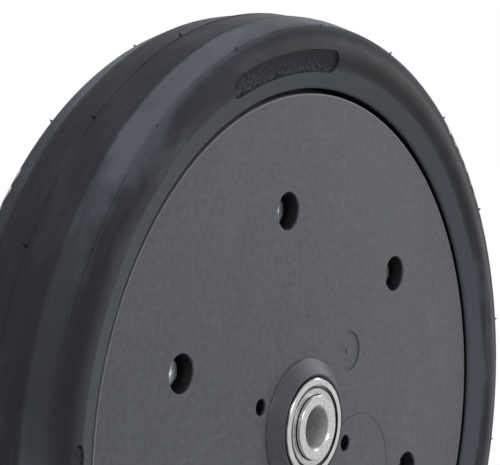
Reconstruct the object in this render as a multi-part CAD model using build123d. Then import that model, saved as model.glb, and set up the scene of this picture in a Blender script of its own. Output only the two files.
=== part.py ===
"""Press wheel of a seed drill: a hollow rubber tyre clamped by two moulded rim halves on two ball bearings.

Millimetres. The origin is the wheel's centre, +Y runs along the axle and +Z is up.
The face that is seen on the machine looks towards -Y. Outlines are drawn as (radius, distance along
the axle) and turned about the axle.
"""
import os
from math import cos, radians, sin

from build123d import *

# Driving sizes
tyre_radius = 165.0
tyre_half_width = 26.6
disc_face = 21.9
hub_half_width = 27.0
axle_diameter = 17.0
bearing_outside = 40.0
bearing_width = 12.0
bolt_count = 6
bolt_circle_radius = 88.5
first_bolt_angle = 37.5
bolt_size = 6.0

# Tyre, outside
seam_height = 0.3
seam_half_width = 0.3
crease_drop = 1.3
crease_at = 14.2
crease_rounding = 12.0
shoulder_drop = 4.8
shoulder_at = 24.6
shoulder_rounding = 4.0
crest_radius = tyre_radius - 14.5
crest_rounding = 12.0
crest_lift = 0.3
lip_radius = 135.6
lip_at = 23.1
lip_rounding = 1.1
gap_floor_at = 15.0
gap_rounding = 0.8

# Tyre, inside
foot_inner_at = 8.0
cavity_foot_radius = 134.0
cavity_side_radius = 141.0
cavity_side_at = 15.5
cavity_wide_radius = 150.5
cavity_wide_at = 18.0
cavity_crown_radius = 156.0
cavity_crown_at = 14.5
cavity_rounding = 3.0

# Bare recessed panels in the sidewalls
panel_inner_radius = 141.9
panel_outer_radius = 151.0
panel_depth = 0.9
panel_span = 25.3
near_panel_starts = (84.7, 174.0)
far_panel_starts = (264.7, 354.0)

# Rim half
flange_radius = 133.5
flange_rounding = 0.7
flange_inner_face = gap_floor_at
drum_radius = 124.0
drum_wall = 5.0
web_wall = 4.0
hub_outer_radius = 26.0
boss_radius = 27.5
boss_side = 0.6
boss_lip_radius = 21.7
boss_top = hub_half_width - 0.5
boss_rounding = 1.0
boss_lip_rounding = 0.4
seat_chamfer = 1.0
shoulder_radius = 17.5
pocket_radius = 7.6
pocket_seat_at = 10.4
pocket_edge = 0.4
bolt_boss_radius = 11.4
bolt_hole_radius = 3.3
rib_wall = 4.0
rib_inner_end = 1.5
inside_rounding = 2.0
hub_hole_radius = 3.5
hub_hole_circle = 33.4
mark_radius = 8.4
mark_circle = 42.0
mark_depth = 0.5
mark_nub_radius = 1.3
ring_mark_radius = 25.8
ring_mark_circle = 47.3
ring_mark_angle = -35.2
ring_mark_line = 0.7
ring_mark_depth = 0.15

# Fasteners
across_flats = 10.0
head_height = 4.0
nut_height = 5.0
washer_radius = 6.0
washer_hole_radius = 3.2
washer_thickness = 1.6
bolt_length = 30.0
head_dimple_radius = 1.6
head_dimple_depth = 0.5
shank_gap = 0.05
shank_end = 0.6
corner_chamfer = 0.25

# Ball bearing
ball_diameter = 6.747
ball_count = 8
ball_circle_radius = 14.25
race_clearance = 0.02
race_conformity = 0.52
inner_shoulder_radius = 12.2
outer_shoulder_radius = 16.6
collar_radius = 13.0
collar_height = 1.5
bore_chamfer = 0.8
ring_chamfer = 0.6
small_chamfer = 0.2
shield_seat_radius = 17.0
shield_seat_depth = 1.1
shield_wall = 0.3
shield_bore_radius = 12.45
shield_face_gap = 0.35
shield_flat_inner_radius = 13.4
shield_flat_outer_radius = 15.7
shield_rim_radius = 16.2
shield_lip_drop = 0.6
cage_wall = 0.6
cage_inner_radius = 12.8
cage_outer_radius = 15.7
cage_pocket_gap = 0.12
rivet_radius = 0.45
rivet_head_radius = 0.8
rivet_top_radius = 0.5
rivet_head_height = 0.35
rivet_hole_gap = 0.02

# Spacer between the inner rings
spacer_bore_radius = axle_diameter / 2 + 0.1
spacer_radius = 11.5
spacer_chamfer = 0.4

# Values that follow from the driving sizes
bearing_centre = hub_half_width - bearing_width / 2
bearing_inner_face = hub_half_width - bearing_width
bearing_radius = bearing_outside / 2
ball_radius = ball_diameter / 2
turned_over = Axis((0, 0, 0), (cos(radians(first_bolt_angle)), 0, sin(radians(first_bolt_angle))))


def turned(outline, roundings=0.0):
    """Turns a closed outline of (radius, distance along the axle) points about the axle."""
    wire = FilletPolyline(*outline, radius=roundings, close=True)
    return revolve(make_face(wire), Axis.Y, 360)


def both_sides(half):
    """Adds the mirror image of a half outline of (radius, distance, rounding) points."""
    points = half + [(r, -y, rounding) for r, y, rounding in reversed(half)]
    return [(r, y) for r, y, rounding in points], [rounding for r, y, rounding in points]


def along_axle(sketch, low, high):
    """Extrudes a sketch, drawn as the near face is seen, between two places on the axle."""
    plane = Plane(origin=(0, high, 0), x_dir=(1, 0, 0), z_dir=(0, -1, 0))
    return extrude(plane * sketch, high - low)


def around(radius, count, start):
    """Places on a circle about the axle, as the near face is seen."""
    return PolarLocations(radius, count, start_angle=start)


def circles(places, radius):
    """A sketch with one circle at every place."""
    return Sketch() + [place * Circle(radius) for place in places]


def sidewall_at(radius):
    """Height of the inner sidewall's cone over the wheel's middle plane."""
    slope = (tyre_half_width + crest_lift - lip_at) / (crest_radius - lip_radius)
    return lip_at + slope * (radius - lip_radius)


def panel(start, side):
    """Cutter for one recessed panel, an arc-shaped slot that follows the sidewall's cone."""
    width = panel_outer_radius - panel_inner_radius
    middle = (panel_outer_radius + panel_inner_radius) / 2
    arc = CenterArc((0, 0), middle, start, panel_span)
    slot = along_axle(SlotArc(arc, width), -2 * tyre_half_width, 2 * tyre_half_width)
    inner, outer = panel_inner_radius - 1, panel_outer_radius + 1
    floor_inner = sidewall_at(inner) - panel_depth
    floor_outer = sidewall_at(outer) - panel_depth
    top = 2 * tyre_half_width
    outline = [(inner, floor_inner), (outer, floor_outer), (outer, top), (inner, top)]
    return slot & turned([(r, side * y) for r, y in outline])


def make_tyre():
    crown_radius = tyre_radius - seam_height
    half = [
        (tyre_radius, seam_half_width, 0),
        (crown_radius, seam_half_width + seam_height, 0),
        (tyre_radius - crease_drop, crease_at, crease_rounding),
        (tyre_radius - shoulder_drop, shoulder_at, shoulder_rounding),
        (crest_radius, tyre_half_width + crest_lift, crest_rounding),
        (lip_radius, lip_at, lip_rounding),
        (lip_radius, gap_floor_at, gap_rounding),
        (drum_radius, gap_floor_at, 0),
        (drum_radius, foot_inner_at, 0),
        (cavity_foot_radius, foot_inner_at, cavity_rounding),
        (cavity_side_radius, cavity_side_at, cavity_rounding),
        (cavity_wide_radius, cavity_wide_at, cavity_rounding),
        (cavity_crown_radius, cavity_crown_at, cavity_rounding),
    ]
    body = turned(*both_sides(half))
    for start in near_panel_starts:
        body -= panel(start, -1)
    for start in far_panel_starts:
        body -= panel(start, 1)
    return body


def make_rim_shell():
    """The turned part of a rim half: bearing seat, hub boss, web, flange and drum."""
    web_inner_face = disc_face - web_wall
    outline = [
        (shoulder_radius, 0, 0),
        (shoulder_radius, bearing_inner_face, 0),
        (bearing_radius, bearing_inner_face, 0),
        (bearing_radius, boss_top - seat_chamfer, 0),
        (bearing_radius + seat_chamfer, boss_top, 0),
        (boss_lip_radius, boss_top, boss_lip_rounding),
        (boss_radius, disc_face + boss_side, boss_rounding),
        (boss_radius, disc_face, 0),
        (flange_radius, disc_face, flange_rounding),
        (flange_radius, flange_inner_face, 0),
        (drum_radius, flange_inner_face, 0),
        (drum_radius, 0, 0),
        (drum_radius - drum_wall, 0, 0),
        (drum_radius - drum_wall, web_inner_face, inside_rounding),
        (hub_outer_radius, web_inner_face, inside_rounding),
        (hub_outer_radius, 0, 0),
    ]
    return turned([(r, -y) for r, y, rounding in outline], [rounding for r, y, rounding in outline])


def rib_sketch(inner, outer, angle):
    """A radial rib from one radius to another."""
    return Rot(0, 0, angle) * Pos((inner + outer) / 2, 0) * Rectangle(outer - inner, rib_wall)


def make_rim_half():
    """The near rim half. The far one is the same moulding, turned over."""
    web_inner_face = disc_face - web_wall
    bolts = around(bolt_circle_radius, bolt_count, first_bolt_angle)
    step = 360 / bolt_count
    drum_inner = drum_radius - drum_wall
    rim = make_rim_shell()
    rim += along_axle(circles(bolts, bolt_boss_radius), -web_inner_face - 1, 0)
    for number in range(bolt_count):
        angle = first_bolt_angle + number * step
        long_rib = rib_sketch(hub_outer_radius - 1, drum_inner + 1, angle + step / 2)
        short_rib = rib_sketch(bolt_circle_radius + bolt_boss_radius - 1, drum_inner + 1, angle)
        rim += along_axle(long_rib + short_rib, -web_inner_face - 1, -rib_inner_end)
    rim -= along_axle(circles(bolts, pocket_radius), -disc_face - 1, -pocket_seat_at)
    rim -= along_axle(circles(bolts, bolt_hole_radius), -disc_face, 1)
    hub_holes = around(hub_hole_circle, 2, first_bolt_angle + 2 * step)
    rim -= along_axle(circles(hub_holes, hub_hole_radius), -disc_face - 1, 0)
    mark = around(mark_circle, 1, first_bolt_angle)
    mark_face = circles(mark, mark_radius) - circles(mark, mark_nub_radius)
    rim -= along_axle(mark_face, -disc_face - 1, -disc_face + mark_depth)
    ring = around(ring_mark_circle, 1, ring_mark_angle)
    ring_face = circles(ring, ring_mark_radius) - circles(ring, ring_mark_radius - ring_mark_line)
    ring_face -= Circle(boss_radius + 1)
    ring_face -= circles(hub_holes, hub_hole_radius + 1)
    rim -= along_axle(ring_face, -disc_face - 1, -disc_face + ring_mark_depth)
    mouths = rim.edges().filter_by(
        lambda edge: edge.geom_type == GeomType.CIRCLE
        and abs(edge.radius - pocket_radius) < 0.01
        and abs(edge.center().Y + disc_face) < 0.01
    )
    return fillet(mouths, pocket_edge)


def hexagon(height, chamfered_low, chamfered_high):
    """A hexagon on the axle from 0 to its height, with the corners of one or both ends turned away."""
    prism = along_axle(RegularPolygon(across_flats / 2, 6, major_radius=False), 0, height)
    corner = across_flats / 2 / cos(radians(30)) + 0.1
    face = across_flats / 2 - corner_chamfer
    drop = (corner - face) / 2
    low = [(face, 0), (corner, drop)] if chamfered_low else [(corner, 0)]
    high = [(corner, height - drop), (face, height)] if chamfered_high else [(corner, height)]
    return prism & turned([(0, 0)] + low + high + [(0, height)])


def make_bolt():
    """A hexagon head bolt on the axle, its head's seat at 0 and its shank towards +Y."""
    head = Pos(0, -head_height, 0) * hexagon(head_height, True, False)
    floor = head_dimple_depth - head_height
    rim, bottom = head_dimple_radius, head_dimple_radius / 2
    dimple = [(0, -head_height), (rim, -head_height), (bottom, floor), (0, floor)]
    radius = bolt_size / 2 - shank_gap
    straight = bolt_length - shank_end
    shank = [(0, -1), (radius, -1), (radius, straight), (radius - shank_end, bolt_length)]
    return head - turned(dimple) + turned(shank + [(0, bolt_length)])


def make_nut():
    """A hexagon nut on the axle, its seat at 0."""
    return hexagon(nut_height, True, True) - along_axle(Circle(bolt_size / 2), -1, nut_height + 1)


def make_washer():
    """A flat washer on the axle, from 0 towards +Y."""
    return along_axle(Circle(washer_radius) - Circle(washer_hole_radius), 0, washer_thickness)


def at_bolts(piece, distance):
    """Copies a piece to every bolt place, at a distance along the axle."""
    copies = []
    for number in range(bolt_count):
        angle = radians(first_bolt_angle + number * 360 / bolt_count)
        x, z = bolt_circle_radius * cos(angle), bolt_circle_radius * sin(angle)
        copies.append(Pos(x, distance, z) * Rot(0, -first_bolt_angle - number * 360 / bolt_count, 0) * piece)
    return Compound(children=copies)


def race_groove(bottom_radius, outward):
    """The ring-shaped cutter of a raceway whose deepest line has the given radius."""
    groove = race_conformity * ball_diameter
    centre = bottom_radius - groove if outward else bottom_radius + groove
    return revolve(Pos(centre, 0) * Circle(groove), Axis.Y, 360)


def make_inner_ring(side):
    """Inner ring with a raceway and a collar that stands out of the bearing on one side."""
    end = bearing_width / 2
    bore = axle_diameter / 2
    outline = [
        (bore, ring_chamfer - end),
        (bore + ring_chamfer, -end),
        (inner_shoulder_radius - small_chamfer, -end),
        (inner_shoulder_radius, small_chamfer - end),
        (inner_shoulder_radius, end),
        (collar_radius, end),
        (collar_radius, end + collar_height - small_chamfer),
        (collar_radius - small_chamfer, end + collar_height),
        (bore + bore_chamfer, end + collar_height),
        (bore, end + collar_height - bore_chamfer),
    ]
    ring = turned([(r, side * y) for r, y in outline])
    return ring - race_groove(ball_circle_radius - ball_radius - race_clearance, False)


def make_outer_ring():
    """Outer ring with a raceway and a stepped seat for a shield at each end."""
    end = bearing_width / 2
    half = [
        (outer_shoulder_radius, end - small_chamfer),
        (outer_shoulder_radius + small_chamfer, end),
        (bearing_radius - ring_chamfer, end),
        (bearing_radius, end - ring_chamfer),
    ]
    ring = turned(half + [(r, -y) for r, y in reversed(half)])
    seat = along_axle(Circle(shield_seat_radius), end - shield_seat_depth, end + 1)
    ring -= seat
    ring -= seat.mirror(Plane.XZ)
    return ring - race_groove(ball_circle_radius + ball_radius + race_clearance, True)


def make_shield(side):
    """Pressed shield: a rim in the outer ring's seat, a raised flat and a lip at the inner ring."""
    seat = bearing_width / 2 - shield_seat_depth
    flat = bearing_width / 2 - shield_face_gap
    lip = flat - shield_lip_drop
    outline = [
        (shield_seat_radius, seat),
        (shield_seat_radius, seat + shield_wall),
        (shield_rim_radius, seat + shield_wall),
        (shield_flat_outer_radius, flat),
        (shield_flat_inner_radius, flat),
        (shield_bore_radius, lip),
        (shield_bore_radius, lip - shield_wall),
        (shield_flat_inner_radius, flat - shield_wall),
        (shield_flat_outer_radius - shield_wall, flat - shield_wall),
        (shield_flat_outer_radius, seat),
    ]
    return turned([(r, side * y) for r, y in outline])


def bearing_places(start, distance):
    """Places on the circle of the balls' centres, at a distance along the axle."""
    places = around(ball_circle_radius, ball_count, start)
    return [Pos(place.position.X, distance, place.position.Y) for place in places]


def make_balls(distance):
    return Compound(children=[place * Sphere(ball_radius) for place in bearing_places(0, distance)])


def make_cage_half(side):
    """One pressed half of a ribbon cage: a flat band that cups every ball."""
    pocket = ball_radius + cage_pocket_gap
    band = along_axle(Circle(cage_outer_radius) - Circle(cage_inner_radius), 0, cage_wall)
    room = 4 * ball_diameter
    cup = Sphere(pocket + cage_wall) & Pos(0, room / 2, 0) * Box(room, room, room)
    places = bearing_places(0, 0)
    for place in places:
        band += place * cup
    for place in places:
        band -= place * Sphere(pocket)
    band &= along_axle(Circle(cage_outer_radius) - Circle(cage_inner_radius), -1, bearing_width)
    rivets = around(ball_circle_radius, ball_count, 180 / ball_count)
    band -= along_axle(circles(rivets, rivet_radius + rivet_hole_gap), -1, cage_wall + 1)
    return band if side > 0 else band.rotate(Axis.Z, 180)


def make_rivets(distance):
    """Rivets between the balls, headed on both sides."""
    top = cage_wall + rivet_head_height
    half = [(rivet_radius, cage_wall), (rivet_head_radius, cage_wall), (rivet_top_radius, top), (0, top)]
    rivet = turned(half + [(r, -y) for r, y in reversed(half)])
    return Compound(children=[place * rivet for place in bearing_places(180 / ball_count, distance)])


def make_spacer():
    end = bearing_inner_face
    half = [
        (spacer_bore_radius, end - spacer_chamfer),
        (spacer_bore_radius + spacer_chamfer, end),
        (spacer_radius - spacer_chamfer, end),
        (spacer_radius, end - spacer_chamfer),
    ]
    return turned(half + [(r, -y) for r, y in reversed(half)])


def bearing_pieces(name, distance, outward):
    """The pieces of one shielded ball bearing, centred at a distance along the axle."""
    centre = Pos(0, distance, 0)
    return {
        f"{name}_bearing_outer_ring": centre * make_outer_ring(),
        f"{name}_bearing_inner_ring": centre * make_inner_ring(outward),
        f"{name}_bearing_balls": make_balls(distance),
        f"{name}_bearing_cage_front": centre * make_cage_half(outward),
        f"{name}_bearing_cage_back": centre * make_cage_half(-outward),
        f"{name}_bearing_cage_rivets": make_rivets(distance),
        f"{name}_bearing_outer_shield": centre * make_shield(outward),
        f"{name}_bearing_inner_shield": centre * make_shield(-outward),
    }


def make_all():
    rim_half = make_rim_half()
    seat = pocket_seat_at
    pieces = {
        "tyre": make_tyre(),
        "near_rim_half": rim_half,
        "far_rim_half": rim_half.rotate(turned_over, 180),
        "clamp_bolts": at_bolts(make_bolt(), -seat - washer_thickness),
        "head_washers": at_bolts(make_washer(), -seat - washer_thickness),
        "nut_washers": at_bolts(make_washer(), seat),
        "clamp_nuts": at_bolts(make_nut(), seat + washer_thickness),
        "spacer_sleeve": make_spacer(),
    }
    pieces.update(bearing_pieces("near", -bearing_centre, -1))
    pieces.update(bearing_pieces("far", bearing_centre, 1))
    return pieces


os.makedirs("parts", exist_ok=True)
for node, shape in make_all().items():
    export_step(shape, f"parts/{node}.step")
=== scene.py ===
"""Dresses the press wheel: rubber, moulded plastic and steel, the tyre's mould details and a small studio.

Everything is in metres, in the wheel's own frame: the origin is the wheel's centre, +Y runs along the
axle and +Z is up. The face that is seen on the machine looks towards -Y, and an angle is counted from
+X towards +Z as that face is seen.
"""
import math
import random

import bmesh
import bpy
from mathutils import Matrix, Vector


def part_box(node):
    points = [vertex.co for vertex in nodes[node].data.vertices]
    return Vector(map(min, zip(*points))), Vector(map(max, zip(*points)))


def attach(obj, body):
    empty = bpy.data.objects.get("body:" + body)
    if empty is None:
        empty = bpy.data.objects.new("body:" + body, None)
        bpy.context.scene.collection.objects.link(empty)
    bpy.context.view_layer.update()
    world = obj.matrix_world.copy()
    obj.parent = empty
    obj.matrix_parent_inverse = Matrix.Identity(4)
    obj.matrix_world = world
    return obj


bl_info = {
    "name": "Press Wheel",
    "version": (1, 0, 0),
    "blender": (4, 5, 0),
    "location": "View3D > Sidebar > Press Wheel",
    "description": "Finishes, mould details and studio for a seed drill press wheel",
    "category": "Object",
}

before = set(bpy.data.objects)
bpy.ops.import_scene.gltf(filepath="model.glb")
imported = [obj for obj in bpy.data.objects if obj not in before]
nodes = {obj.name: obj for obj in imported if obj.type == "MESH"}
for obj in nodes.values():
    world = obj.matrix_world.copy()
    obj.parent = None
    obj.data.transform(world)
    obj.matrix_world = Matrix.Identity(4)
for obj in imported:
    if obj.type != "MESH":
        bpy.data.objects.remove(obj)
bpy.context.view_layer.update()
wheel_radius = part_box("tyre")[1].x


def mm(value):
    return value / 1000


SIDES = {"near": -1, "far": 1}
NUB_SEEDS = {"near": 23, "far": 17}
WHISKER_SEED = 31
WHISKER_CLEARANCE = mm(0.2)
NOISE_ROUGHNESS = 0.55

# The tyre: its lip beside the rim gap, and the cone that its sidewall rises in from there
LIP_RADIUS = mm(135.6)
LIP_PLACE = mm(23.1)
SIDEWALL_SLOPE = 0.255
LIP_RING = (mm(141.0), mm(145.0))
PANEL_RADII = (mm(141.9), mm(151.0))
PANEL_DEPTHS = (mm(0.5), mm(0.8))
CREST_RADIUS = mm(154.0)
TREAD_EDGE = (mm(12.5), mm(16.0))
SHOULDER_PLACES = (mm(15.5), mm(24.0))
SHOULDER_TILT = math.radians(28.0)

# A nub from below its foot to its tip: share of the height, share of the foot's radius
NUB_OUTLINE = ((-0.35, 1.25), (0.0, 1.0), (0.45, 0.72), (0.82, 0.55), (0.96, 0.36))
NUB_SIDES = 8
LINE_STEPS = 360
LINE_SIDES = 6

# The rim halves and the bearings
DISC_FACE = mm(21.9)
FLANGE_CORNER = (mm(132.9), mm(133.9))
POCKET_COUNT = 6
HOLES_WITHIN = mm(110.0)
BOSS_RADIUS = mm(27.2)
BORE_RADIUS = mm(8.5)
RING_GROOVES = ((mm(16.3), mm(17.1)), (mm(19.7), mm(20.2)))
SHIELD_GROOVES = ((mm(12.0), mm(13.3)), (mm(15.8), mm(16.6)))
# Dark colour of the bearing grooves: old grease, and painted shade
GROOVE_GREASE_AND_SHADE = (0.035, 0.032, 0.03)
MARKS_SHADE = 0.72

# The camera, which puts the wheel's centre on one pixel of the image
CAMERA_AZIMUTH = math.radians(-55.07)
CAMERA_ELEVATION = math.radians(6.57)
CAMERA_DISTANCE = 0.7886
CAMERA_LENS = 138.94
SENSOR_WIDTH = 36.0
IMAGE_SIZE = (500, 465)
CENTRE_PIXEL = (259.65, 419.27)


def length_property(name, description, default_mm):
    return bpy.props.FloatProperty(
        name=name,
        description=description,
        default=mm(default_mm),
        min=0.0,
        unit="LENGTH",
        subtype="DISTANCE",
        precision=5,
    )


def angle_property(name, description, degrees):
    return bpy.props.FloatProperty(
        name=name,
        description=description,
        default=math.radians(degrees),
        unit="ROTATION",
        subtype="ANGLE",
    )


def colour_property(name, description, default):
    return bpy.props.FloatVectorProperty(
        name=name,
        description=description,
        default=default,
        size=3,
        min=0.0,
        max=1.0,
        subtype="COLOR",
    )


def power_property(name, description, default):
    return bpy.props.FloatProperty(
        name=name, description=description, default=default, min=0.0, unit="POWER", subtype="POWER"
    )


class TyreSettings(bpy.types.PropertyGroup):
    rubber: colour_property("Rubber", "Colour of the clean rubber", (0.014, 0.015, 0.018))
    # Colour of the blooming wax, and also of the painted sheen on the shoulders and the painted light at the
    # lip
    bloom_and_painted_light: colour_property("Bloom and painted light", "Colour of the wax that blooms on the rubber, and of the painted sheen and light", (0.080, 0.088, 0.106))
    # Painted shade for the tyre down in the rim gap
    shade: colour_property("Painted gap shade", "Colour of the shade painted down in the rim gap", (0.004, 0.004, 0.005))
    line_radius: length_property("Mould line radius", "Radius of the mould line on each shoulder", 159.83)
    line_place: length_property("Mould line place", "Distance of the mould line from the middle plane", 24.2)
    line_height: length_property("Mould line height", "How far the mould line stands proud", 0.12)
    nub_radius: length_property("Nub radius", "Radius at the foot of a vent nub", 0.52)
    nub_height: length_property("Nub height", "Height that the vent nubs' heights are shares of", 1.4)
    nub_start: angle_property("Nub start", "Angle of the first vent nub on the near face", 108.0)
    nub_count: bpy.props.IntProperty(
        name="Nub count", description="Vent nubs round each mould line", default=18, min=1
    )
    whisker_radius: length_property("Whisker radius", "Radius at the foot of a spike on the middle seam", 0.6)
    whisker_height: length_property("Whisker height", "Height that the spikes' heights are shares of", 2.2)


class RimSettings(bpy.types.PropertyGroup):
    plastic: colour_property("Plastic", "Colour of the moulded plastic", (0.086, 0.092, 0.104))
    worn: colour_property("Worn plastic", "Colour of lightly worn places", (0.150, 0.158, 0.172))
    # Painted highlight on the flange's rounded corner
    edge_highlight: colour_property("Painted edge highlight", "Colour of the highlight painted on the flange's corner", (0.30, 0.31, 0.33))
    # Painted shade on the hub boss
    boss_shade: colour_property("Painted boss shade", "Colour of the shade painted on the hub boss", (0.030, 0.032, 0.038))
    # Painted shade in the bolt pockets and hub holes
    recess_shade: colour_property("Painted recess shade", "Colour of the shade painted in pockets and holes", (0.014, 0.015, 0.018))
    mark_circle: length_property("Mark circle", "Radius of the circle that the moulding mark lies on", 42.0)
    pocket_circle: length_property("Pocket circle", "Radius of the circle of bolt pockets", 88.5)
    pocket_radius: length_property("Pocket radius", "Radius of a bolt pocket", 7.6)
    pocket_angle: angle_property("Pocket angle", "Angle of the first bolt pocket on the near face", 37.5)


class FastenerSettings(bpy.types.PropertyGroup):
    zinc: colour_property("Zinc", "Colour of the zinc plate", (0.60, 0.625, 0.64))
    zinc_film: colour_property("Zinc film", "Colour of the film on the zinc plate", (0.52, 0.56, 0.60))


class BearingSettings(bpy.types.PropertyGroup):
    ring_steel: colour_property("Ring steel", "Colour of the rings and the balls", (0.60, 0.60, 0.605))
    ring_film: colour_property("Ring film", "Colour of the film on the rings", (0.52, 0.505, 0.49))
    sheet_steel: colour_property("Sheet steel", "Colour of the shields and cages", (0.50, 0.50, 0.505))
    sheet_film: colour_property("Sheet film", "Colour of the film on the shields", (0.43, 0.42, 0.41))
    tube_steel: colour_property("Tube steel", "Colour of the spacer sleeve", (0.55, 0.55, 0.56))
    tube_film: colour_property("Tube film", "Colour of the film on the sleeve", (0.30, 0.28, 0.25))


class StageSettings(bpy.types.PropertyGroup):
    floor: colour_property("Floor", "Colour of the floor near the wheel", (0.86, 0.86, 0.86))
    floor_size: length_property("Floor size", "Side of the square floor", 9000.0)
    fade_start: length_property("Fade start", "Distance at which the floor begins to turn white", 160.0)
    fade_end: length_property("Fade end", "Distance at which the floor is plain white", 520.0)
    world_light: bpy.props.FloatProperty(
        name="World light", description="Strength of the light from all round", default=0.1, min=0.0
    )
    lamp_size: length_property("Lamp size", "Side of each square soft lamp", 1000.0)
    front_light: power_property("Front light", "Power of the small lamp high before the near face", 3.0)
    front_right_light: power_property("Front right light", "Power of the lamp before the near face", 6.0)
    left_light: power_property("Left light", "Power of the high lamp on the left", 15.0)
    right_light: power_property("Right light", "Power of the high lamp on the right", 8.5)
    low_right_light: power_property("Low right light", "Power of the low lamp on the right", 4.5)
    back_right_light: power_property("Back right light", "Power of the lamp behind, on the right", 10.0)
    top_light: power_property("Top light", "Power of the lamp overhead", 8.0)


class Finish:
    """A node material for one finish, with the helpers that its pattern is made of."""

    def __init__(self, name, metallic, specular=0.5):
        self.material = bpy.data.materials.new(name)
        self.material.use_nodes = True
        self.tree = self.material.node_tree
        self.shader = self.tree.nodes["Principled BSDF"]
        self.shader.inputs["Metallic"].default_value = metallic
        self.shader.inputs["Specular IOR Level"].default_value = specular
        self.place = self.node("ShaderNodeTexCoord").outputs["Object"]
        self.flat = self.vector("MULTIPLY", self.place, (1.0, 0.0, 1.0))
        self.radius = self.vector("LENGTH", self.flat)
        self.outward = self.vector("NORMALIZE", self.flat)
        parts = self.node("ShaderNodeSeparateXYZ")
        self.join(parts.inputs[0], self.place)
        self.x, self.y, self.z = parts.outputs
        self.side = self.math("ABSOLUTE", self.y)

    def node(self, kind):
        return self.tree.nodes.new(kind)

    def join(self, socket, value):
        if isinstance(value, bpy.types.NodeSocket):
            self.tree.links.new(value, socket)
        else:
            socket.default_value = value

    def set(self, name, value):
        self.join(self.shader.inputs[name], value)

    def math(self, operation, first, second=0.0, third=0.0):
        made = self.node("ShaderNodeMath")
        made.operation = operation
        for socket, value in zip(made.inputs, (first, second, third)):
            self.join(socket, value)
        return made.outputs[0]

    def plus(self, first, second):
        return self.math("ADD", first, second)

    def minus(self, first, second):
        return self.math("SUBTRACT", first, second)

    def times(self, first, second):
        return self.math("MULTIPLY", first, second)

    def add_share(self, total, pattern, share):
        """The total with a share of the pattern added."""
        return self.math("MULTIPLY_ADD", pattern, share, total)

    def vector(self, operation, first, second=(0.0, 0.0, 0.0)):
        made = self.node("ShaderNodeVectorMath")
        made.operation = operation
        self.join(made.inputs[0], first)
        self.join(made.inputs[1], second)
        return made.outputs["Value" if operation == "LENGTH" else "Vector"]

    def ramp(self, value, low, high, start=0.0, end=1.0):
        """A smooth step from start to end as the value goes from low to high."""
        made = self.node("ShaderNodeMapRange")
        made.interpolation_type = "SMOOTHSTEP"
        for name, given in (("From Min", low), ("From Max", high), ("To Min", start), ("To Max", end)):
            made.inputs[name].default_value = given
        self.join(made.inputs["Value"], value)
        return made.outputs["Result"]

    def fade(self, value, low, high):
        """1 below low and 0 above high."""
        return self.ramp(value, low, high, 1.0, 0.0)

    def band(self, value, low, high, soft):
        """1 between low and high, and 0 outside, with soft edges."""
        return self.times(self.ramp(value, low - soft, low), self.fade(value, high, high + soft))

    def noise(self, scale, detail, place=None):
        made = self.node("ShaderNodeTexNoise")
        made.inputs["Scale"].default_value = scale
        made.inputs["Detail"].default_value = detail
        made.inputs["Roughness"].default_value = NOISE_ROUGHNESS
        self.join(made.inputs["Vector"], place or self.place)
        return made.outputs["Fac"]

    def rings(self, along, across, detail=3.0, shift=0.0):
        """Noise drawn out round the axle: few changes along the turn, many across it."""
        across_place = self.plus(self.times(self.minus(self.radius, self.y), across), shift)
        stepped = self.node("ShaderNodeCombineXYZ")
        self.join(stepped.inputs["Y"], across_place)
        round_place = self.vector("MULTIPLY", self.outward, (along, 0.0, along))
        return self.noise(1.0, detail, place=self.vector("ADD", round_place, stepped.outputs[0]))

    def streaks(self, scale, slant, detail):
        """Noise drawn out along one slanting direction, for handling marks."""
        made = self.node("ShaderNodeMapping")
        made.inputs["Rotation"].default_value = (0.0, slant, 0.0)
        made.inputs["Scale"].default_value = scale
        self.join(made.inputs["Vector"], self.place)
        return self.noise(1.0, detail, place=made.outputs[0])

    def mix(self, share, first, second):
        made = self.node("ShaderNodeMix")
        made.data_type = "RGBA"
        made.clamp_factor = True
        self.join(made.inputs["Factor"], share)
        self.join(made.inputs["A"], colour(first))
        self.join(made.inputs["B"], colour(second))
        return made.outputs["Result"]

    def bump(self, layers):
        """Stacks bumps of (height, depth in millimetres) on each other."""
        normal = None
        for height, depth in layers:
            made = self.node("ShaderNodeBump")
            made.inputs["Strength"].default_value = 1.0
            made.inputs["Distance"].default_value = mm(depth)
            self.join(made.inputs["Height"], height)
            if normal is not None:
                self.join(made.inputs["Normal"], normal)
            normal = made.outputs["Normal"]
        self.set("Normal", normal)


def colour(value):
    """Adds full alpha to a plain colour, and leaves a socket as it is."""
    if isinstance(value, bpy.types.NodeSocket):
        return value
    return (*value, 1.0)


def dress(names, material):
    """Gives every named solid of the frame a finish of its own."""
    for name in names:
        piece = nodes[name]
        for slot in piece.material_slots:
            slot.link = "OBJECT"
            slot.material = material


def add_piece(name, mesh, material, body):
    piece = bpy.data.objects.new(name, mesh)
    bpy.context.scene.collection.objects.link(piece)
    mesh.materials.append(material)
    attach(piece, body)


def on_face(radius, angle, place):
    """A point at a radius and angle, as the near face is seen, and a place along the axle."""
    return Vector((radius * math.cos(angle), place, radius * math.sin(angle)))


def panel_floor(finish):
    """1 on the floor of a sidewall panel, which lies below the sidewall's cone, and 0 elsewhere."""
    cone = finish.math("MULTIPLY_ADD", finish.minus(finish.radius, LIP_RADIUS), SIDEWALL_SLOPE, LIP_PLACE)
    sunk = finish.ramp(finish.minus(cone, finish.side), *PANEL_DEPTHS)
    return finish.times(sunk, finish.band(finish.radius, *PANEL_RADII, mm(0.05)))


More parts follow.
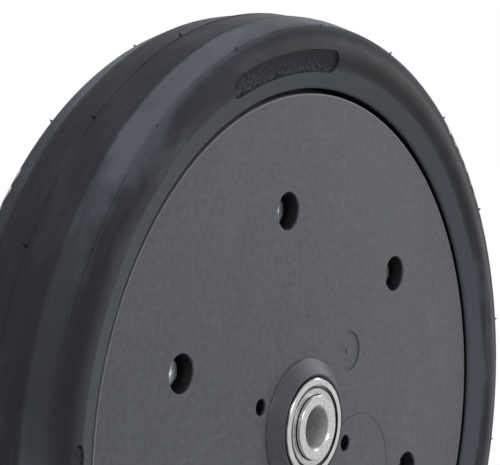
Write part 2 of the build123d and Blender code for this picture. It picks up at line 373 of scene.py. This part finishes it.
def rubber_bloom_and_painted_light(finish, smears):
    """Blooming wax in patches and in fine streaks, with a painted sheen in a broad streak on each shoulder
    and a painted pale ring of light at the lip.
    """
    patches = finish.noise(11.0, 4.0)
    bloom_and_painted_light = finish.times(finish.ramp(patches, 0.38, 0.64), finish.ramp(smears, 0.40, 0.66))
    bloom_and_painted_light = finish.times(bloom_and_painted_light, finish.ramp(finish.side, *TREAD_EDGE, 0.36, 1.2))
    # Painted sheen: a broad pale streak on each shoulder, where the light falls on it.
    broad = finish.ramp(finish.noise(4.0, 1.0), 0.35, 0.65, 0.15, 1.0)
    shoulder = finish.times(finish.band(finish.side, *SHOULDER_PLACES, mm(2.0)), broad)
    bloom_and_painted_light = finish.add_share(bloom_and_painted_light, shoulder, 1.5)
    # Painted light: a pale ring on the sidewall next to the lip, palest towards the lip.
    bloom_and_painted_light = finish.plus(bloom_and_painted_light, finish.ramp(finish.radius, *LIP_RING, 1.3, 0.08))
    fine = finish.rings(5.0, 420.0, shift=3.7)
    return finish.plus(bloom_and_painted_light, finish.ramp(fine, 0.55, 0.8, 0.0, 0.22))


def rubber_finish(settings):
    """Black rubber with blooming wax, painted sheen and painted light drawn out round the turn, painted shade
    down in the rim gap, fine tool marks and a stippled panel floor.
    """
    finish = Finish("tyre_rubber", metallic=0.0, specular=0.12)
    smears = finish.rings(2.6, 55.0, detail=4.0)
    on_panel = panel_floor(finish)
    coarse = finish.noise(850.0, 1.0)
    wiped = finish.times(on_panel, finish.ramp(coarse, 0.4, 0.6, 1.0, 0.3))
    bloom_and_painted_light = finish.times(rubber_bloom_and_painted_light(finish, smears), finish.minus(1.0, wiped))
    tone = finish.mix(bloom_and_painted_light, settings.rubber, settings.bloom_and_painted_light)
    # Painted shade: the tyre down in the rim gap, below its lip, is coloured near black, as the gap lies in
    # shade.
    near_rim = finish.fade(finish.radius, LIP_RADIUS + mm(0.4), LIP_RADIUS + mm(1.0))
    below_lip = finish.fade(finish.side, LIP_PLACE - mm(1.7), LIP_PLACE - mm(0.7))
    finish.set("Base Color", finish.mix(finish.times(near_rim, below_lip), tone, settings.shade))
    rough = finish.ramp(finish.radius, CREST_RADIUS, CREST_RADIUS + mm(6.0), 0.46, 0.74)
    rough = finish.add_share(rough, smears, 0.16)
    finish.set("Roughness", finish.add_share(rough, on_panel, 0.12))
    stipple = finish.times(coarse, on_panel)
    finish.bump([(finish.rings(3.0, 900.0), 0.02), (finish.noise(2600.0, 2.0), 0.012), (stipple, 0.3)])
    return finish.material


def from_pocket(finish, settings):
    """Distance from the middle line of the nearest bolt pocket."""
    step = math.tau / POCKET_COUNT
    angle = finish.minus(finish.math("ARCTAN2", finish.z, finish.x), settings.pocket_angle)
    folded = finish.minus(finish.math("FLOORED_MODULO", finish.plus(angle, step / 2), step), step / 2)
    reach = finish.times(finish.radius, finish.math("COSINE", folded))
    along = finish.minus(reach, settings.pocket_circle)
    across = finish.times(finish.radius, finish.math("SINE", folded))
    return finish.math("SQRT", finish.plus(finish.times(along, along), finish.times(across, across)))


def plastic_wear(finish, settings, speckle, corner):
    """Wear round the pockets' mouths, on the flange's corner and in the moulding mark."""
    inner = settings.pocket_radius - mm(0.2)
    outer = settings.pocket_radius + mm(0.3)
    mouth = finish.band(from_pocket(finish, settings), inner, outer, mm(0.5))
    worn = finish.times(finish.math("MAXIMUM", mouth, corner), finish.ramp(speckle, 0.3, 0.7, 0.15, 0.55))
    mark = on_face(settings.mark_circle, settings.pocket_angle, 0.0)
    from_mark = finish.vector("LENGTH", finish.vector("SUBTRACT", finish.flat, tuple(mark)))
    spot = finish.ramp(from_mark, mm(1.4), mm(3.4), 0.7, 0.0)
    return finish.math("MAXIMUM", worn, finish.times(spot, finish.ramp(speckle, 0.4, 0.6)))


def plastic_finish(settings):
    """Dark moulded plastic with a fine grain, faint flow marks, worn pocket mouths, a painted highlight on
    the flange's corner and painted shade on the hub boss and in the pockets and holes.
    """
    finish = Finish("rim_plastic", metallic=0.0, specular=0.25)
    clouds = finish.noise(14.0, 5.0)
    flow = finish.rings(7.0, 120.0, detail=4.0)
    speckle = finish.noise(1500.0, 3.0)
    scratches = finish.streaks((60.0, 60.0, 1400.0), math.radians(35.0), 2.0)
    corner = finish.band(finish.radius, *FLANGE_CORNER, mm(0.2))
    boss = finish.fade(finish.radius, BOSS_RADIUS, BOSS_RADIUS + mm(1.0))
    tone = plastic_wear(finish, settings, speckle, corner)
    for pattern, low, high, share in (
        (clouds, 0.3, 0.7, 0.3),
        (flow, 0.45, 0.75, 0.12),
        (speckle, 0.35, 0.75, 0.16),
        (finish.noise(420.0, 3.0), 0.4, 0.65, 0.3),
        (scratches, 0.6, 0.74, 0.12),
    ):
        tone = finish.plus(tone, finish.ramp(pattern, low, high, 0.0, share))
    # Painted shade: behind the disc's face and within the hole circle, the walls of the pockets and holes are
    # coloured near black.
    deep = finish.fade(finish.side, DISC_FACE - mm(1.3), DISC_FACE - mm(0.4))
    shaded_recess = finish.times(deep, finish.fade(finish.radius, HOLES_WITHIN, HOLES_WITHIN + mm(5.0)))
    # Painted shade: the hub boss is darkened all round towards the shade colour, by 0.3 to 0.6 with the cloud
    # noise.
    boss_shading = finish.times(boss, finish.ramp(clouds, 0.2, 0.8, 0.3, 0.6))
    base = finish.mix(tone, settings.plastic, settings.worn)
    # Painted highlight: the flange's rounded corner is coloured pale, as where it catches the light.
    base = finish.mix(corner, base, settings.edge_highlight)
    base = finish.mix(shaded_recess, base, settings.recess_shade)
    finish.set("Base Color", finish.mix(boss_shading, base, settings.boss_shade))
    rough = finish.math("MULTIPLY_ADD", clouds, 0.16, 0.42)
    rough = finish.add_share(rough, corner, -0.15)
    finish.set("Roughness", finish.add_share(rough, boss, -0.17))
    finish.bump([(finish.noise(900.0, 3.0), 0.035), (scratches, 0.015), (flow, 0.03)])
    return finish.material


def metal_finish(name, base, film_colour, roughness, spread, along, across, depth, grooves=()):
    """Steel with marks round the axle, a slight film, a rougher bore and old greased grooves darkened with
    painted shade.
    """
    finish = Finish(name, metallic=1.0)
    film = finish.noise(160.0, 3.0)
    marks = finish.rings(along, across, detail=2.0)
    tone = finish.mix(finish.ramp(marks, 0.3, 0.7), [value * MARKS_SHADE for value in base], base)
    tone = finish.mix(finish.ramp(film, 0.45, 0.75, 0.0, 0.5), tone, film_colour)
    # The grooves are darkened by old grease and by painted shade, where the grooves and gaps lie in shade.
    for inner, outer in grooves:
        groove = finish.band(finish.radius, inner, outer, mm(0.18))
        tone = finish.mix(finish.times(groove, finish.ramp(film, 0.2, 0.6, 0.75, 0.95)), tone, GROOVE_GREASE_AND_SHADE)
    finish.set("Base Color", tone)
    rough = finish.math("MULTIPLY_ADD", film, spread, roughness)
    in_bore = finish.ramp(finish.radius, BORE_RADIUS + mm(0.1), BORE_RADIUS + mm(0.3), 0.55, 0.0)
    finish.set("Roughness", finish.plus(rough, in_bore))
    finish.bump([(marks, depth), (finish.noise(2200.0, 2.0), depth * 0.6)])
    return finish.material


def bridge(shape, low, high):
    """Closes the wall between two loops of corners."""
    for corner in range(len(low)):
        after = (corner + 1) % len(low)
        shape.faces.new((low[corner], low[after], high[after], high[corner]))


def smooth_mesh(name, shape):
    mesh = bpy.data.meshes.new(name)
    shape.to_mesh(mesh)
    shape.free()
    mesh.shade_smooth()
    return mesh


def mould_line_mesh(name, settings, side):
    """A low rounded bead round the tyre, sunk a little into the shoulder."""
    lean = math.pi / 2 - SHOULDER_TILT
    shape = bmesh.new()
    loops = []
    for step in range(LINE_STEPS):
        angle = math.tau * step / LINE_STEPS
        loop = []
        for corner in range(LINE_SIDES):
            turn = lean + math.tau * corner / LINE_SIDES
            radius = settings.line_radius + settings.line_height * math.sin(turn)
            place = settings.line_place + settings.line_height * math.cos(turn)
            loop.append(shape.verts.new(on_face(radius, angle, side * place)))
        loops.append(loop)
    for this, following in zip(loops, loops[1:] + loops[:1]):
        bridge(shape, this, following)
    bmesh.ops.recalc_face_normals(shape, faces=shape.faces)
    return smooth_mesh(name, shape)


def add_nub(shape, foot, direction, radius, height, lean):
    """A tapered whisker of rubber with a round tip, standing on the tyre."""
    turn = direction.to_track_quat("Z", "Y").to_matrix()
    loops = []
    for share, width in NUB_OUTLINE:
        bend = lean * max(share, 0.0) ** 2
        loop = []
        for side in range(NUB_SIDES):
            angle = math.tau * side / NUB_SIDES
            aside = radius * width * math.cos(angle) + bend
            local = Vector((aside, radius * width * math.sin(angle), height * share))
            loop.append(shape.verts.new(foot + turn @ local))
        loops.append(loop)
    tip = shape.verts.new(foot + turn @ Vector((lean, 0.0, height)))
    for low, high in zip(loops, loops[1:]):
        bridge(shape, low, high)
    for side in range(NUB_SIDES):
        shape.faces.new((loops[-1][side], loops[-1][(side + 1) % NUB_SIDES], tip))
    shape.faces.new(list(reversed(loops[0])))


def nub_angle(settings, number, shift):
    """Angle of one of the vents, which lie evenly round the tyre, moved by a few degrees."""
    return settings.nub_start + math.tau * number / settings.nub_count + math.radians(shift)


def vent_nub_mesh(name, settings, side, seed):
    """Vent nubs round one mould line, each a little different."""
    shape = bmesh.new()
    draw = random.Random(seed)
    for number in range(settings.nub_count):
        angle = nub_angle(settings, number, draw.uniform(-0.5, 0.5))
        outward = on_face(math.cos(SHOULDER_TILT), angle, side * math.sin(SHOULDER_TILT)).normalized()
        foot = on_face(settings.line_radius, angle, side * settings.line_place)
        height = settings.nub_height * draw.uniform(0.35, 0.9)
        radius = settings.nub_radius * draw.uniform(0.8, 1.1)
        add_nub(shape, foot, outward, radius, height, height * draw.uniform(-0.3, 0.3))
    return smooth_mesh(name, shape)


def whisker_mesh(name, settings):
    """Spikes of flash on the middle seam, where the square round the wheel leaves room for them."""
    shape = bmesh.new()
    draw = random.Random(WHISKER_SEED)
    for number in range(settings.nub_count):
        angle = nub_angle(settings, number, draw.uniform(0.6, 1.4))
        to_square = wheel_radius / max(abs(math.cos(angle)), abs(math.sin(angle)))
        room = to_square - wheel_radius - WHISKER_CLEARANCE
        height = min(settings.whisker_height * draw.uniform(0.6, 1.1), room)
        lean = height * draw.uniform(-0.4, 0.4)
        if height > settings.whisker_radius:
            outward = on_face(1.0, angle, 0.0)
            add_nub(shape, outward * wheel_radius, outward, settings.whisker_radius, height, lean)
    return smooth_mesh(name, shape)


class PRESSWHEEL_OT_tyre(bpy.types.Operator):
    """Finish the tyre and add its mould lines, vent nubs and seam spikes"""

    bl_idname = "press_wheel.tyre"
    bl_label = "Tyre"

    def execute(self, context):
        settings = context.scene.press_wheel_tyre
        rubber = rubber_finish(settings)
        dress(["tyre"], rubber)
        for name, side in SIDES.items():
            line = mould_line_mesh(f"{name}_mould_line", settings, side)
            add_piece(f"{name}_mould_line", line, rubber, "wheel")
            nubs = vent_nub_mesh(f"{name}_vent_nubs", settings, side, NUB_SEEDS[name])
            add_piece(f"{name}_vent_nubs", nubs, rubber, "wheel")
        add_piece("seam_whiskers", whisker_mesh("seam_whiskers", settings), rubber, "wheel")
        return {"FINISHED"}


class PRESSWHEEL_OT_rim(bpy.types.Operator):
    """Finish the two rim halves"""

    bl_idname = "press_wheel.rim"
    bl_label = "Rim Halves"

    def execute(self, context):
        dress(["near_rim_half", "far_rim_half"], plastic_finish(context.scene.press_wheel_rim))
        return {"FINISHED"}


class PRESSWHEEL_OT_fasteners(bpy.types.Operator):
    """Finish the clamp bolts, washers and nuts"""

    bl_idname = "press_wheel.fasteners"
    bl_label = "Fasteners"

    def execute(self, context):
        settings = context.scene.press_wheel_fasteners
        zinc = metal_finish(
            "zinc_plate", settings.zinc, settings.zinc_film,
            roughness=0.24, spread=0.2, along=40.0, across=900.0, depth=0.01,
        )
        dress(["clamp_bolts", "head_washers", "nut_washers", "clamp_nuts"], zinc)
        return {"FINISHED"}


class PRESSWHEEL_OT_bearings(bpy.types.Operator):
    """Finish the bearings and the spacer sleeve"""

    bl_idname = "press_wheel.bearings"
    bl_label = "Bearings"

    def execute(self, context):
        settings = context.scene.press_wheel_bearings
        ring = metal_finish(
            "ring_steel", settings.ring_steel, settings.ring_film,
            roughness=0.14, spread=0.1, along=6.0, across=2600.0, depth=0.006, grooves=RING_GROOVES,
        )
        sheet = metal_finish(
            "sheet_steel", settings.sheet_steel, settings.sheet_film,
            roughness=0.2, spread=0.14, along=4.0, across=1500.0, depth=0.01, grooves=SHIELD_GROOVES,
        )
        tube = metal_finish(
            "tube_steel", settings.tube_steel, settings.tube_film,
            roughness=0.34, spread=0.2, along=9.0, across=1800.0, depth=0.02,
        )
        for side in SIDES:
            for name in ("outer_ring", "inner_ring", "balls"):
                dress([f"{side}_bearing_{name}"], ring)
            for name in ("outer_shield", "inner_shield", "cage_front", "cage_back", "cage_rivets"):
                dress([f"{side}_bearing_{name}"], sheet)
        dress(["spacer_sleeve"], tube)
        return {"FINISHED"}


def add_camera():
    """The photograph's camera: the wheel's centre falls on one pixel of the image."""
    turn, tilt = CAMERA_AZIMUTH, CAMERA_ELEVATION
    back = Vector((math.sin(turn) * math.cos(tilt), -math.cos(turn) * math.cos(tilt), math.sin(tilt)))
    right = Vector((math.cos(turn), math.sin(turn), 0.0))
    up = back.cross(right)
    focus = CAMERA_LENS / SENSOR_WIDTH * IMAGE_SIZE[0]
    aside = (CENTRE_PIXEL[0] - IMAGE_SIZE[0] / 2) / focus * CAMERA_DISTANCE
    above = (IMAGE_SIZE[1] / 2 - CENTRE_PIXEL[1]) / focus * CAMERA_DISTANCE
    data = bpy.data.cameras.new("camera")
    data.lens = CAMERA_LENS
    data.sensor_width = SENSOR_WIDTH
    data.clip_start = 0.01
    data.clip_end = 100.0
    camera = bpy.data.objects.new("camera", data)
    bpy.context.scene.collection.objects.link(camera)
    axes = Matrix((right, up, back)).transposed().to_4x4()
    camera.matrix_world = Matrix.Translation(back * CAMERA_DISTANCE - right * aside - up * above) @ axes
    bpy.context.scene.camera = camera


def add_lamp(name, place, size, power):
    """A square soft lamp that faces the wheel's centre."""
    data = bpy.data.lights.new(name, "AREA")
    data.shape = "SQUARE"
    data.size = size
    data.energy = power
    lamp = bpy.data.objects.new(name, data)
    bpy.context.scene.collection.objects.link(lamp)
    lamp.location = place
    lamp.rotation_euler = (-Vector(place)).to_track_quat("-Z", "Y").to_euler()


def shown_level(tree, strength):
    """1 for rays from the camera, a mirror or glass, and the strength for the light that falls on things."""
    path = tree.nodes.new("ShaderNodeLightPath")
    seen = path.outputs["Is Camera Ray"]
    for name in ("Is Glossy Ray", "Is Transmission Ray"):
        either = tree.nodes.new("ShaderNodeMath")
        either.operation = "MAXIMUM"
        tree.links.new(seen, either.inputs[0])
        tree.links.new(path.outputs[name], either.inputs[1])
        seen = either.outputs[0]
    level = tree.nodes.new("ShaderNodeMapRange")
    level.inputs["To Min"].default_value = strength
    level.inputs["To Max"].default_value = 1.0
    tree.links.new(seen, level.inputs["Value"])
    return level.outputs["Result"]


def make_world(strength):
    """White to look at, and a plain soft light on the wheel."""
    world = bpy.data.worlds.new("studio")
    world.use_nodes = True
    tree = world.node_tree
    shown = tree.nodes["Background"]
    shown.inputs["Color"].default_value = (1.0, 1.0, 1.0, 1.0)
    tree.links.new(shown_level(tree, strength), shown.inputs["Strength"])
    bpy.context.scene.world = world


def floor_finish(settings):
    """A pale floor that keeps the shadow near the wheel and turns plain white further out."""
    finish = Finish("studio_floor", metallic=0.0, specular=0.1)
    finish.set("Base Color", colour(settings.floor))
    finish.set("Roughness", 0.8)
    white = finish.node("ShaderNodeEmission")
    finish.join(white.inputs["Strength"], shown_level(finish.tree, settings.world_light))
    level_place = finish.vector("MULTIPLY", finish.place, (1.0, 1.0, 0.0))
    distance = finish.vector("LENGTH", level_place)
    blend = finish.node("ShaderNodeMixShader")
    finish.join(blend.inputs["Fac"], finish.ramp(distance, settings.fade_start, settings.fade_end))
    finish.join(blend.inputs[1], finish.shader.outputs[0])
    finish.join(blend.inputs[2], white.outputs[0])
    finish.join(finish.tree.nodes["Material Output"].inputs["Surface"], blend.outputs[0])
    return finish.material


def add_floor(settings):
    shape = bmesh.new()
    bmesh.ops.create_grid(shape, x_segments=24, y_segments=24, size=settings.floor_size / 2)
    mesh = smooth_mesh("floor", shape)
    mesh.materials.append(floor_finish(settings))
    floor = bpy.data.objects.new("floor", mesh)
    floor.location.z = -wheel_radius
    bpy.context.scene.collection.objects.link(floor)


class PRESSWHEEL_OT_stage(bpy.types.Operator):
    """Set up the camera, the lamps, the world and the floor"""

    bl_idname = "press_wheel.stage"
    bl_label = "Stage"

    def execute(self, context):
        settings = context.scene.press_wheel_stage
        context.scene.view_settings.view_transform = "Standard"
        add_camera()
        make_world(settings.world_light)
        full, half = settings.lamp_size, settings.lamp_size / 2
        for name, place, size, power in (
            ("front_lamp", (-0.37, -1.35, 0.79), half, settings.front_light),
            ("front_right_lamp", (1.20, -0.96, 0.45), full, settings.front_right_light),
            ("left_lamp", (-1.20, -0.16, 1.04), full, settings.left_light),
            ("right_lamp", (1.20, 0.16, 1.04), full, settings.right_light),
            ("low_right_lamp", (1.57, 0.0, 0.31), full, settings.low_right_light),
            ("back_right_lamp", (1.29, 0.88, 0.35), full, settings.back_right_light),
            ("top_lamp", (0.0, 0.0, 1.60), full, settings.top_light),
        ):
            add_lamp(name, place, size, power)
        add_floor(settings)
        return {"FINISHED"}


OPERATORS = (
    PRESSWHEEL_OT_tyre,
    PRESSWHEEL_OT_rim,
    PRESSWHEEL_OT_fasteners,
    PRESSWHEEL_OT_bearings,
    PRESSWHEEL_OT_stage,
)


class PRESSWHEEL_PT_panel(bpy.types.Panel):
    """The press wheel's pieces and stage"""

    bl_idname = "PRESSWHEEL_PT_panel"
    bl_label = "Press Wheel"
    bl_space_type = "VIEW_3D"
    bl_region_type = "UI"
    bl_category = "Press Wheel"

    def draw(self, context):
        for operator in OPERATORS:
            self.layout.operator(operator.bl_idname)


SETTINGS = {
    "press_wheel_tyre": TyreSettings,
    "press_wheel_rim": RimSettings,
    "press_wheel_fasteners": FastenerSettings,
    "press_wheel_bearings": BearingSettings,
    "press_wheel_stage": StageSettings,
}


def register():
    for name, group in SETTINGS.items():
        bpy.utils.register_class(group)
        setattr(bpy.types.Scene, name, bpy.props.PointerProperty(type=group))
    for operator in OPERATORS:
        bpy.utils.register_class(operator)
    bpy.utils.register_class(PRESSWHEEL_PT_panel)


def unregister():
    bpy.utils.unregister_class(PRESSWHEEL_PT_panel)
    for operator in reversed(OPERATORS):
        bpy.utils.unregister_class(operator)
    for name, group in reversed(SETTINGS.items()):
        delattr(bpy.types.Scene, name)
        bpy.utils.unregister_class(group)


def main():
    register()
    bpy.ops.press_wheel.tyre()
    bpy.ops.press_wheel.rim()
    bpy.ops.press_wheel.fasteners()
    bpy.ops.press_wheel.bearings()
    bpy.ops.press_wheel.stage()


if __name__ == "__main__":
    main()
